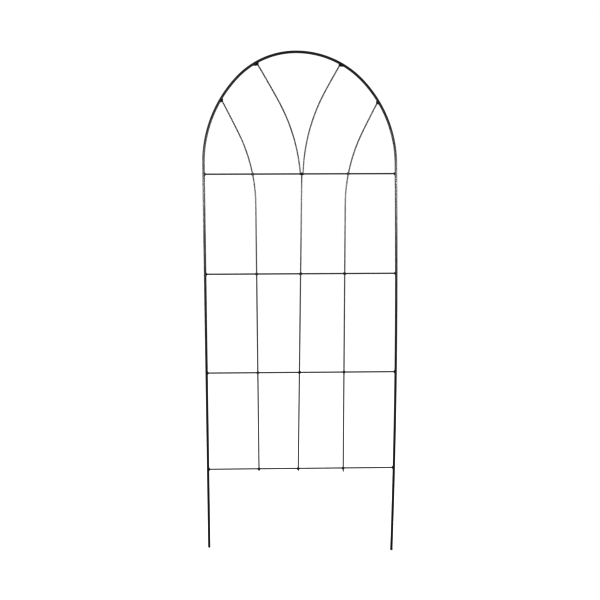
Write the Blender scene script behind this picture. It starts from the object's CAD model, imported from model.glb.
import math
import random

import bmesh
import bpy
from mathutils import Matrix, Vector


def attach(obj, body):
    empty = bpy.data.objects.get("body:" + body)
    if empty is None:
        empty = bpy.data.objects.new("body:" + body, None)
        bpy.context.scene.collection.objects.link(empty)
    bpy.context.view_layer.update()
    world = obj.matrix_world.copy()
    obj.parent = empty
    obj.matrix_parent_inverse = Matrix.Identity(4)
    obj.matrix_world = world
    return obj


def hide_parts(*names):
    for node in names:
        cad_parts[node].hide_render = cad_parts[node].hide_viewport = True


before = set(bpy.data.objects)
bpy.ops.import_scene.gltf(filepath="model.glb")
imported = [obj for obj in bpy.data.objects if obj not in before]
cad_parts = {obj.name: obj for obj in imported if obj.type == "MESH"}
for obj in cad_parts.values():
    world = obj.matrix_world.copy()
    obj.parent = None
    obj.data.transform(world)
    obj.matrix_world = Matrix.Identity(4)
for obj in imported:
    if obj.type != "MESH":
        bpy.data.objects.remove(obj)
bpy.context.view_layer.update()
mm = 0.001
print("frame loaded,", len(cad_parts), "nodes")


# camera: stands a little left of the frame and above it, so both legs close in towards the tips
shot = {
    "place": (-69.85 * mm, -2598.6 * mm, 1021.3 * mm),
    "pitchDown": 8.604,
    "turnRight": 1.477,
    "roll": -0.130,
    "lens": 66.0,
    "farClip": 60.0,
}


def placeCamera(s):
    pitch, turn, roll = (math.radians(s[k]) for k in ("pitchDown", "turnRight", "roll"))
    level = Vector((math.sin(turn), math.cos(turn), 0))
    ahead = level * math.cos(pitch) - Vector((0, 0, math.sin(pitch)))
    right = Vector((math.cos(turn), -math.sin(turn), 0))
    up = right.cross(ahead)
    side = right * math.cos(roll) + up * math.sin(roll)
    top = up * math.cos(roll) - right * math.sin(roll)
    data = bpy.data.cameras.new("camera")
    data.lens = s["lens"]
    data.clip_end = s["farClip"]
    camera = bpy.data.objects.new("camera", data)
    turned = Matrix((side, top, -ahead)).transposed().to_4x4()
    camera.matrix_world = Matrix.Translation(s["place"]) @ turned
    bpy.context.scene.collection.objects.link(camera)
    bpy.context.scene.camera = camera


placeCamera(shot)
print("camera set")


# satin black powder coat: fine orange peel, slow changes of sheen, a little dust in the low spots
coat = {
    "deep": (0.009, 0.009, 0.0095, 1),
    "worn": (0.017, 0.017, 0.0175, 1),
    "dust": (0.060, 0.057, 0.053, 1),
    "specular": 0.40,
    "sheenLow": 0.32,
    "sheenHigh": 0.39,
    "sheenRange": (0.30, 0.72),
    "mottleSize": 14 * mm,
    "mottleDetail": 4,
    "tintRange": (0.35, 0.70),
    "dustSize": 3.2 * mm,
    "dustDetail": 6,
    "dustGrain": 0.7,
    "dustRange": (0.62, 0.80),
    "dustMost": 0.35,
    "peelSize": 1.1 * mm,
    "peelDetail": 2,
    "peelDepth": 0.006 * mm,
    "peelStrength": 0.8,
}
weldCoat = {**coat, "peelSize": 0.8 * mm, "peelDepth": coat["peelDepth"] + 0.05 * mm}  # lumpier on a weld


def blackCoat(name, c):
    paint = bpy.data.materials.new(name)
    paint.use_nodes = True
    tree = paint.node_tree
    make, join = tree.nodes.new, tree.links.new
    shader = tree.nodes["Principled BSDF"]
    shader.inputs["Specular IOR Level"].default_value = c["specular"]
    shader.inputs["Metallic"].default_value = 0.0
    where = make("ShaderNodeTexCoord")

    mottle = make("ShaderNodeTexNoise")
    mottle.inputs["Scale"].default_value = 1 / c["mottleSize"]
    mottle.inputs["Detail"].default_value = c["mottleDetail"]
    join(where.outputs["Object"], mottle.inputs["Vector"])

    tint = make("ShaderNodeValToRGB")
    for stop, at, colour in zip(tint.color_ramp.elements, c["tintRange"], (c["deep"], c["worn"])):
        stop.position, stop.color = at, colour
    join(mottle.outputs["Fac"], tint.inputs["Fac"])

    specks = make("ShaderNodeTexNoise")
    specks.inputs["Scale"].default_value = 1 / c["dustSize"]
    specks.inputs["Detail"].default_value = c["dustDetail"]
    specks.inputs["Roughness"].default_value = c["dustGrain"]
    join(where.outputs["Object"], specks.inputs["Vector"])
    thin = make("ShaderNodeMapRange")
    thin.inputs["From Min"].default_value, thin.inputs["From Max"].default_value = c["dustRange"]
    thin.inputs["To Max"].default_value = c["dustMost"]
    join(specks.outputs["Fac"], thin.inputs["Value"])
    dusty = make("ShaderNodeMix")
    dusty.data_type = "RGBA"
    join(thin.outputs["Result"], dusty.inputs["Factor"])
    join(tint.outputs["Color"], dusty.inputs["A"])
    dusty.inputs["B"].default_value = c["dust"]
    join(dusty.outputs["Result"], shader.inputs["Base Color"])

    sheen = make("ShaderNodeMapRange")
    sheen.inputs["From Min"].default_value, sheen.inputs["From Max"].default_value = c["sheenRange"]
    sheen.inputs["To Min"].default_value = c["sheenLow"]
    sheen.inputs["To Max"].default_value = c["sheenHigh"]
    join(mottle.outputs["Fac"], sheen.inputs["Value"])
    join(sheen.outputs["Result"], shader.inputs["Roughness"])

    peel = make("ShaderNodeTexNoise")
    peel.inputs["Scale"].default_value = 1 / c["peelSize"]
    peel.inputs["Detail"].default_value = c["peelDetail"]
    join(where.outputs["Object"], peel.inputs["Vector"])
    relief = make("ShaderNodeBump")
    relief.inputs["Distance"].default_value = c["peelDepth"]
    relief.inputs["Strength"].default_value = c["peelStrength"]
    join(peel.outputs["Fac"], relief.inputs["Height"])
    join(relief.outputs["Normal"], shader.inputs["Normal"])
    return paint


wirePaint = blackCoat("blackCoat", coat)
weldPaint = blackCoat("blackCoatOnWeld", weldCoat)
print("paint mixed")


# every finished piece: in its body, with its paint, standing for its solid
def keepPiece(name, bm, node, paint, sharpAngle=35):
    bmesh.ops.recalc_face_normals(bm, faces=bm.faces[:])
    mesh = bpy.data.meshes.new(name)
    bm.to_mesh(mesh)
    bm.free()
    mesh.shade_smooth()
    mesh.set_sharp_from_angle(angle=math.radians(sharpAngle))
    mesh.materials.append(paint)
    piece = bpy.data.objects.new(name, mesh)
    bpy.context.scene.collection.objects.link(piece)
    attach(piece, "root")
    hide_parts(node)
    return piece


# a wire is drawn as it is bent: a ring of points that runs straight and round in the frame's plane
def startWire(bm, place, heading, radius, around):
    turned = heading.to_track_quat("Z", "Y").to_matrix().to_4x4()
    ring = bmesh.ops.create_circle(bm, cap_ends=False, radius=radius, segments=around,
                                   matrix=Matrix.Translation(place) @ turned)
    return {"bm": bm, "ring": ring["verts"], "place": place.copy(), "heading": heading.normalized()}


def endLoop(wire):
    mine = set(wire["ring"])
    return [e for e in wire["bm"].edges if e.verts[0] in mine and e.verts[1] in mine]


def runStraight(wire, length, steps=1):
    for _ in range(steps):
        grown = bmesh.ops.extrude_edge_only(wire["bm"], edges=endLoop(wire))["geom"]
        wire["ring"] = [g for g in grown if isinstance(g, bmesh.types.BMVert)]
        bmesh.ops.translate(wire["bm"], verts=wire["ring"], vec=wire["heading"] * (length / steps))
    wire["place"] = wire["place"] + wire["heading"] * length


# turns clockwise seen from the front where the angle is positive
def runRound(wire, radius, angle, steps):
    sign = 1 if angle > 0 else -1
    inward = Vector((wire["heading"].z, 0, -wire["heading"].x)) * sign
    centre = wire["place"] + inward * radius
    spun = bmesh.ops.spin(wire["bm"], geom=wire["ring"] + endLoop(wire), cent=centre, axis=(0, 1, 0),
                          dvec=(0, 0, 0), angle=angle, steps=steps, use_merge=False,
                          use_normal_flip=False, use_duplicate=False)
    wire["ring"] = [g for g in spun["geom_last"] if isinstance(g, bmesh.types.BMVert)]
    turn = Matrix.Rotation(angle, 3, "Y")
    wire["place"] = centre + turn @ (wire["place"] - centre)
    wire["heading"] = turn @ wire["heading"]


def closeEnd(wire):
    loop = endLoop(wire)
    bmesh.ops.edgeloop_fill(wire["bm"], edges=loop)
    return loop


def easeEnd(bm, loop, offset):
    bmesh.ops.bevel(bm, geom=loop, offset=offset, offset_type="OFFSET", affect="EDGES",
                    segments=2, profile=0.5, material=-1)


# hoop: one rod from the left tip up, round the arch and down the bowed right leg
# the arch's top stands left of the middle
hoop = {
    "rodRadius": 2.75 * mm,
    "legX": 228.25 * mm,
    "leftTip": 12 * mm,
    "springZ": 951 * mm,
    "archRise": 257 * mm,
    "crownX": -11 * mm,
    "haunch": math.radians(44),
    "bowRadius": 20.0,
    "bowZ": 486 * mm,
    "bowTop": 698 * mm,
    "runRadius": 30.0,
    "tipBevel": 0.5 * mm,
    "around": 40,
    "legStep": 75 * mm,
    "stepAngle": math.radians(1),
}
sideSign = {"left": -1, "right": 1}


# right leg: centre and radius of its curve at a height, the place of its middle and its lean there
def legCurve(h, z):
    bow = (h["legX"] - h["bowRadius"], h["bowZ"])
    if z <= h["bowTop"]:
        return bow, h["bowRadius"]
    turn = math.asin((h["bowTop"] - h["bowZ"]) / h["bowRadius"])
    shift = h["bowRadius"] - h["runRadius"]
    return (bow[0] + shift * math.cos(turn), bow[1] + shift * math.sin(turn)), h["runRadius"]


def rightLeg(h, z):
    middle, radius = legCurve(h, z)
    lean = math.asin((z - middle[1]) / radius)
    return middle[0] + radius * math.cos(lean), lean


# one half of the arch, x counted outwards: the flank runs on from the leg, the crown is level at the top
def halfArch(h, side):
    x, lean = (h["legX"], 0.0) if side == "left" else rightLeg(h, h["springZ"])
    top = h["springZ"] + h["archRise"]
    reach = x - sideSign[side] * h["crownX"]
    sine, cosine = math.sin(h["haunch"]), math.cos(h["haunch"])
    up, inward = sine - math.sin(lean), math.cos(lean) - cosine
    share = up * cosine - inward * (1 - sine)
    flankR = (h["archRise"] * cosine - reach * (1 - sine)) / share
    crownR = (reach * up - h["archRise"] * inward) / share
    crownC = (sideSign[side] * h["crownX"], top - crownR)
    flankC = (crownC[0] - (flankR - crownR) * cosine, crownC[1] - (flankR - crownR) * sine)
    return {"flankR": flankR, "crownR": crownR, "flankC": flankC, "crownC": crownC, "lean": lean}


halves = {side: halfArch(hoop, side) for side in sideSign}


def makeHoop(h):
    bm = bmesh.new()
    tip = Vector((-h["legX"], 0, h["leftTip"]))
    rod = startWire(bm, tip, Vector((0, 0, 1)), h["rodRadius"], h["around"])
    foot = closeEnd(rod)
    leg = h["springZ"] - h["leftTip"]
    runStraight(rod, leg, round(leg / h["legStep"]))
    bowTurn, tipTurn = rightLeg(h, h["bowTop"])[1], rightLeg(h, 0)[1]
    left, right = halves["left"], halves["right"]
    crownTurn = math.pi / 2 - h["haunch"]
    bends = (
        (left["flankR"], h["haunch"]),
        (left["crownR"], crownTurn),
        (right["crownR"], crownTurn),
        (right["flankR"], h["haunch"] - right["lean"]),
        (h["runRadius"], right["lean"] - bowTurn),
        (h["bowRadius"], bowTurn - tipTurn),
    )
    for radius, turn in bends:
        runRound(rod, radius, turn, round(max(turn / h["stepAngle"], radius * turn / h["legStep"])))
    for v in rod["ring"]:
        v.co.z = 0
    easeEnd(bm, closeEnd(rod), h["tipBevel"])
    easeEnd(bm, foot, h["tipBevel"])
    return keepPiece("hoopRod", bm, "hoop", wirePaint)


makeHoop(hoop)
print("hoop bent")


# bars: level wires coped on to the inside of the legs, just behind the hoop's plane
bars = {
    "names": ("bottom", "lower", "upper", "top"),
    "heights": (211 * mm, 451 * mm, 691 * mm, 927.5 * mm),
    "wireRadius": 1.4 * mm,
    "lap": 1.2 * mm,
    "around": 28,
    "steps": 16,
}


def legX(side, z):
    return hoop["legX"] if side == "left" else rightLeg(hoop, z)[0]


def makeBar(b, h, name, z):
    bm = bmesh.new()
    start = Vector((-legX("left", z), b["lap"], z))
    bar = startWire(bm, start, Vector((1, 0, 0)), b["wireRadius"], b["around"])
    ends = [bar["ring"]]
    closeEnd(bar)
    runStraight(bar, legX("left", z) + legX("right", z), b["steps"])
    closeEnd(bar)
    ends.append(bar["ring"])
    for end, side in zip(ends, sideSign):
        for v in end:
            v.co.x = sideSign[side] * (legX(side, v.co.z) - math.sqrt(h["rodRadius"] ** 2 - v.co.y ** 2))
    return keepPiece(name + "BarWire", bm, name + "_bar", wirePaint)


for name, z in zip(bars["names"], bars["heights"]):
    makeBar(bars, hoop, name, z)
print("bars cut")


# bent wires: straight foot, bend, then a long slight curve up to the arch; x and lean count outwards
risers = {
    "bendX": {"left": 106.5 * mm, "right": 104.5 * mm},
    "toeIn": 2.5 * mm,
    "bendDrop": 72 * mm,
    "bendRadius": 386 * mm,
    "bendTurn": math.radians(26),
    "feet": {"left": 4 * mm, "right": 8.5 * mm},
    "endRadius": 3.0,
    "cutBevel": 0.25 * mm,
    "stepAngle": math.radians(1),
    "endStep": 9 * mm,
    "footSteps": 20,
    "mostEndTurn": math.radians(12),
    "mostCope": 9 * mm,
    "halvings": 50,
}
centre = {
    "topX": 2 * mm,
    "footX": -8 * mm,
    "foot": 5 * mm,
    "head": 2 * mm,
    "steps": 20,
}
fan = {
    "footLean": {"left": math.radians(5.5), "right": math.radians(2.5)},
    "topLean": math.radians(29),
    "bendRadius": 418 * mm,
    "straight": 10 * mm,
    "foot": 2.5 * mm,
    "gap": 0.2 * mm,
    "footSteps": 2,
}
lowZ, highZ = bars["heights"][0], bars["heights"][-1]


def centreX(z):
    return centre["footX"] + (z - lowZ) * (centre["topX"] - centre["footX"]) / (highZ - lowZ)


def riserPath(side):
    bendZ = highZ - risers["bendDrop"]
    lean = math.atan2(risers["toeIn"], bendZ - lowZ)
    z = lowZ - risers["feet"][side]
    return {"x": risers["bendX"][side] - (bendZ - z) * math.tan(lean), "z": z, "lean": lean,
            "straight": (bendZ - z) / math.cos(lean), "radius": risers["bendRadius"],
            "turn": risers["bendTurn"], "footSteps": risers["footSteps"]}


def fanPath(side):
    z = highZ - fan["foot"]
    x = sideSign[side] * centreX(z) + 2 * bars["wireRadius"] + fan["gap"]
    lean = fan["footLean"][side]
    return {"x": x, "z": z, "lean": lean, "straight": fan["straight"], "radius": fan["bendRadius"],
            "turn": fan["topLean"] - lean, "footSteps": fan["footSteps"]}


# a point's place from the middle of the arch's curve there, across and up, and that curve's radius
def besideArch(point):
    side = "left" if point.x < hoop["crownX"] else "right"
    half = halves[side]
    x = sideSign[side] * point.x
    onCrown = point.z - half["crownC"][1] >= (x - half["crownC"][0]) * math.tan(hoop["haunch"])
    middle, radius = (half["crownC"], half["crownR"]) if onCrown else (half["flankC"], half["flankR"])
    return x - middle[0], point.z - middle[1], radius


# how far a point lies beyond the arch's middle line in the hoop's plane, and its distance from that line
def beyondArch(point):
    across, up, radius = besideArch(point)
    return math.hypot(across, up) - radius


def fromArch(point):
    return math.hypot(beyondArch(point), point.y)


# turn of the long slight curve that brings the wire's middle to the middle of the arch's rod
def endTurn(place, heading, radius, sign):
    inward = Vector((heading.z, 0, -heading.x)) * sign
    middle = place + inward * radius
    low, high = 0.0, risers["mostEndTurn"]
    for _ in range(risers["halvings"]):
        half = (low + high) / 2
        at = middle + Matrix.Rotation(sign * half, 3, "Y") @ (place - middle)
        low, high = (half, high) if beyondArch(at) < 0 else (low, half)
    return low


# draws each point of the wire's end back along the wire to the surface of the arch's rod
def copeToArch(wire):
    for v in wire["ring"]:
        near, far = 0.0, risers["mostCope"]
        for _ in range(risers["halvings"]):
            half = (near + far) / 2
            inside = fromArch(v.co - wire["heading"] * half) < hoop["rodRadius"]
            near, far = (half, far) if inside else (near, half)
        v.co = v.co - wire["heading"] * near


seats = {}  # where each bent wire meets the arch


def makeBentWire(name, node, side, p):
    sign = sideSign[side]
    bm = bmesh.new()
    heading = Vector((sign * math.sin(p["lean"]), 0, math.cos(p["lean"])))
    start = Vector((sign * p["x"], -bars["lap"], p["z"]))
    wire = startWire(bm, start, heading, bars["wireRadius"], bars["around"])
    foot = closeEnd(wire)
    runStraight(wire, p["straight"], p["footSteps"])
    runRound(wire, p["radius"], sign * p["turn"], round(p["turn"] / risers["stepAngle"]))
    last = endTurn(wire["place"], wire["heading"], risers["endRadius"], sign)
    steps = max(2, round(last * risers["endRadius"] / risers["endStep"]))
    runRound(wire, risers["endRadius"], sign * last, steps)
    copeToArch(wire)
    closeEnd(wire)
    easeEnd(bm, foot, risers["cutBevel"])
    seats[node] = {"end": wire["place"].copy(), "heading": wire["heading"].copy()}
    return keepPiece(name, bm, node, wirePaint)


for side in sideSign:
    makeBentWire(side + "RiserWire", side + "_riser", side, riserPath(side))
    makeBentWire(side + "FanWire", side + "_fan_wire", side, fanPath(side))


def makeCentreRiser(c):
    bm = bmesh.new()
    z0, z1 = lowZ - c["foot"], highZ + c["head"]
    start = Vector((centreX(z0), -bars["lap"], z0))
    reach = Vector((centreX(z1), -bars["lap"], z1)) - start
    wire = startWire(bm, start, reach.normalized(), bars["wireRadius"], bars["around"])
    foot = closeEnd(wire)
    runStraight(wire, reach.length, c["steps"])
    easeEnd(bm, closeEnd(wire), risers["cutBevel"])
    easeEnd(bm, foot, risers["cutBevel"])
    return keepPiece("centreRiserWire", bm, "centre_riser", wirePaint)


makeCentreRiser(centre)
print("risers and fan bent")


# welds: a run of overlapping drops along the joint, melted together and painted over
weld = {
    "voxel": 0.24 * mm,
    "melt": 5,
    "meltFactor": 0.5,
    "wander": 0.22 * mm,
    "sizes": (0.93, 1.04),
    "dropCuts": 3,
    "collarSides": 32,
    "sharpAngle": 180,
    "seed": 41,
}
chance = random.Random(weld["seed"])


def meltDrops(name, node, drops, collars):
    bm = bmesh.new()
    for place, radius in drops:
        off = Vector([chance.uniform(-1, 1) for _ in range(3)]) * weld["wander"]
        size = radius * chance.uniform(*weld["sizes"])
        bmesh.ops.create_icosphere(bm, subdivisions=weld["dropCuts"], radius=size,
                                   matrix=Matrix.Translation(place + off))
    for place, heading, length, wide, narrow in collars:
        turned = heading.to_track_quat("Z", "Y").to_matrix().to_4x4()
        bmesh.ops.create_cone(bm, cap_ends=True, segments=weld["collarSides"], radius1=wide, radius2=narrow,
                              depth=length, matrix=Matrix.Translation(place + heading * length / 2) @ turned)
    rough = bpy.data.meshes.new(name + "Drops")
    bm.to_mesh(rough)
    bm.free()
    lump = bpy.data.objects.new(name + "Drops", rough)
    bpy.context.scene.collection.objects.link(lump)
    fuse = lump.modifiers.new("fuse", "REMESH")
    fuse.mode = "VOXEL"
    fuse.voxel_size = weld["voxel"]
    ease = lump.modifiers.new("ease", "SMOOTH")
    ease.factor, ease.iterations = weld["meltFactor"], weld["melt"]
    ready = lump.evaluated_get(bpy.context.evaluated_depsgraph_get())
    bm = bmesh.new()
    bm.from_mesh(ready.to_mesh())
    ready.to_mesh_clear()
    bpy.data.objects.remove(lump)
    bpy.data.meshes.remove(rough)
    return keepPiece(name, bm, node, weldPaint, weld["sharpAngle"])


# a bar's end: drops (up the leg, radius) along the inside of the leg and a collar round the bar, in mm
barBead = {
    "drops": ((-2.3, 1.8), (0.0, 2.55), (2.2, 1.75)),
    "sink": 0.3,
    "collar": 3.4,
    "wide": 2.5,
    "narrow": 1.36,
}


def makeBarEndWeld(name, z, side):
    sign = sideSign[side]
    reach = legX(side, z) - math.sqrt(hoop["rodRadius"] ** 2 - bars["lap"] ** 2)
    corner = Vector((sign * (reach + barBead["sink"] * mm), bars["lap"], z))
    drops = [(corner + Vector((0, 0, up * mm)), r * mm) for up, r in barBead["drops"]]
    length, wide, narrow = (barBead[k] * mm for k in ("collar", "wide", "narrow"))
    collars = [(corner, Vector((-sign, 0, 0)), length, wide, narrow)]
    meltDrops(f"{name}Bar{side.title()}EndBead", f"{name}_bar_{side}_end_weld", drops, collars)


# a crossing: the two wires are squeezed together and a little metal stands in the four corners, in mm
crossBead = {
    "core": 2.3,
    "corner": 1.4,
    "cornerSizes": (0.8, 1.1),
    "out": 2.1,
    "outShares": (0.85, 1.1),
    "drawnIn": 0.75,
}


def makeCrossingWeld(name, node, x, z):
    middle = Vector((x, 0, z))
    drops = [(middle, crossBead["core"] * mm)]
    for sx in (-1, 1):
        for sz in (-1, 1):
            spread = crossBead["out"] * chance.uniform(*crossBead["outShares"]) * mm
            size = crossBead["corner"] * chance.uniform(*crossBead["cornerSizes"]) * mm
            drops.append((middle + Vector((sx * spread, 0, sz * spread)) * crossBead["drawnIn"], size))
    meltDrops(name, node, drops, [])


# the fan's feet and the centre riser's head share one run of drops on the top bar, heaped to the front, in mm
hubBead = {
    "drops": ((-4.6, 1.7), (-2.6, 2.6), (0.0, 3.1), (2.6, 2.7), (4.5, 1.8)),
    "out": 0.4,
}


def makeHubWeld():
    middle = Vector((centreX(highZ), -hubBead["out"] * mm, highZ))
    drops = [(middle + Vector((along * mm, 0, 0)), r * mm) for along, r in hubBead["drops"]]
    meltDrops("topBarHubBead", "top_bar_centre_riser_weld", drops, [])


# a bent wire's end, in mm: drops (along the arch, in from the rod, radius) and a collar
# the fan's drops are heaped outboard
archBead = {
    "leftRiser": ((-3.2, 0.0, 1.7), (-1.2, 0.6, 2.7), (0.9, 1.2, 2.9), (2.9, 0.5, 2.5), (4.4, 0.0, 1.6)),
    "rightRiser": ((-3.0, 0.0, 1.6), (-1.0, 0.6, 2.6), (1.1, 1.1, 2.8), (3.0, 0.4, 2.3), (4.4, 0.0, 1.5)),
    "leftFan": ((-2.8, 0.0, 1.7), (-0.7, 0.8, 2.8), (1.6, 1.7, 3.1), (3.9, 1.2, 2.9), (6.0, 0.6, 2.5),
                (7.8, 0.2, 1.9), (9.3, 0.0, 1.3)),
    "rightFan": ((-2.7, 0.0, 1.6), (-0.6, 0.6, 2.6), (1.6, 1.2, 2.9), (3.8, 0.7, 2.6), (5.7, 0.3, 2.1),
                 (7.3, 0.0, 1.4)),
    "collar": 5.0,
    "wide": 2.7,
    "narrow": 1.36,
    "sink": 0.2,
    "out": 0.35,
}


def makeArchWeld(kind, side, node, wireNode):
    seat = seats[wireNode]
    across, up, _ = besideArch(seat["end"])
    outward = Vector((sideSign[side] * across, 0, up)).normalized()
    downhill = Vector((outward.z, 0, -outward.x)) * sideSign[side]
    depth = math.sqrt(hoop["rodRadius"] ** 2 - bars["lap"] ** 2)
    corner = seat["end"] - seat["heading"] * (depth / seat["heading"].dot(outward))
    base = Vector((corner.x, -archBead["out"] * mm, corner.z)) + outward * archBead["sink"] * mm
    drops = [(base + (downhill * along - outward * deep) * mm, r * mm)
             for along, deep, r in archBead[side + kind]]
    length, wide, narrow = (archBead[k] * mm for k in ("collar", "wide", "narrow"))
    collars = [(corner, -seat["heading"], length, wide, narrow)]
    meltDrops(f"{side}{kind}ArchBead", node, drops, collars)


# where a riser crosses a bar
def riserX(side, z):
    p = riserPath(side)
    bendZ = highZ - risers["bendDrop"]
    if z <= bendZ:
        return sideSign[side] * (p["x"] + (z - p["z"]) * math.tan(p["lean"]))
    middleX = risers["bendX"][side] + p["radius"] * math.cos(p["lean"])
    middleZ = bendZ - p["radius"] * math.sin(p["lean"])
    return sideSign[side] * (middleX - math.sqrt(p["radius"] ** 2 - (z - middleZ) ** 2))


for name, z in zip(bars["names"], bars["heights"]):
    for side in sideSign:
        makeBarEndWeld(name, z, side)
        bead, node = f"{name}Bar{side.title()}RiserBead", f"{name}_bar_{side}_riser_weld"
        makeCrossingWeld(bead, node, riserX(side, z), z)
    if name != "top":
        makeCrossingWeld(f"{name}BarCentreRiserBead", f"{name}_bar_centre_riser_weld", centreX(z), z)
makeHubWeld()
for side in sideSign:
    makeArchWeld("Riser", side, side + "_riser_arch_weld", side + "_riser")
    makeArchWeld("Fan", side, side + "_fan_arch_weld", side + "_fan_wire")
print("welds laid")


# pale studio: a wide white floor under an even white sky, one soft key from the upper left, and a low strip
# at each side whose shine lies across the upright wires near the top bar
studio = {
    "floorSize": 40.0,
    "floorColour": (1.0, 1.0, 1.0, 1),
    "floorRoughness": 0.9,
    "skyColour": (1, 1, 1, 1),
    "skyStrength": 1.02,
    "keyPlace": (-1.6, -2.2, 3.0),
    "keyAim": (0, 0, 0.6),
    "keySize": (2.4, 2.4),
    "keyPower": 60.0,
    "stripPlaces": ((-0.75, -0.62, 0.85), (0.75, -0.62, 0.85)),
    "stripAim": (0, 0, 0.85),
    "stripSize": (0.7, 0.10),
    "stripPower": 26.0,
    "shineOn": ("hoopRod", "leftRiserWire", "centreRiserWire", "rightRiserWire",
                "leftFanWire", "rightFanWire"),
    "gamma": 0.48,  # keeps wires about a pixel wide dark on the white floor
}


def hangLight(name, shape, size, power, place, aim):
    light = bpy.data.lights.new(name, "AREA")
    light.shape, light.energy = shape, power
    light.size, light.size_y = size
    lamp = bpy.data.objects.new(name, light)
    lamp.location = place
    lamp.rotation_euler = (Vector(aim) - Vector(place)).to_track_quat("-Z", "Y").to_euler()
    bpy.context.scene.collection.objects.link(lamp)
    return lamp


def makeStudio(s):
    bm = bmesh.new()
    bmesh.ops.create_grid(bm, x_segments=2, y_segments=2, size=s["floorSize"] / 2)
    mesh = bpy.data.meshes.new("floor")
    bm.to_mesh(mesh)
    bm.free()
    pale = bpy.data.materials.new("paleFloor")
    pale.use_nodes = True
    shader = pale.node_tree.nodes["Principled BSDF"]
    shader.inputs["Base Color"].default_value = s["floorColour"]
    shader.inputs["Roughness"].default_value = s["floorRoughness"]
    mesh.materials.append(pale)
    floor = bpy.data.objects.new("floor", mesh)
    bpy.context.scene.collection.objects.link(floor)
    world = bpy.data.worlds.new("sky")
    bpy.context.scene.world = world
    world.use_nodes = True
    background = world.node_tree.nodes["Background"]
    background.inputs["Color"].default_value = s["skyColour"]
    background.inputs["Strength"].default_value = s["skyStrength"]
    hangLight("key", "DISK", s["keySize"], s["keyPower"], s["keyPlace"], s["keyAim"])
    shine = bpy.data.collections.new("shine")  # the strips light the upright wires and leave the floor even
    for name in s["shineOn"]:
        shine.objects.link(bpy.data.objects[name])
    for number, place in enumerate(s["stripPlaces"]):
        strip = hangLight(f"strip{number}", "RECTANGLE", s["stripSize"], s["stripPower"],
                          place, s["stripAim"])
        strip.light_linking.receiver_collection = shine
    bpy.context.scene.view_settings.view_transform = "Standard"
    bpy.context.scene.view_settings.gamma = s["gamma"]


makeStudio(studio)
print("studio lit")
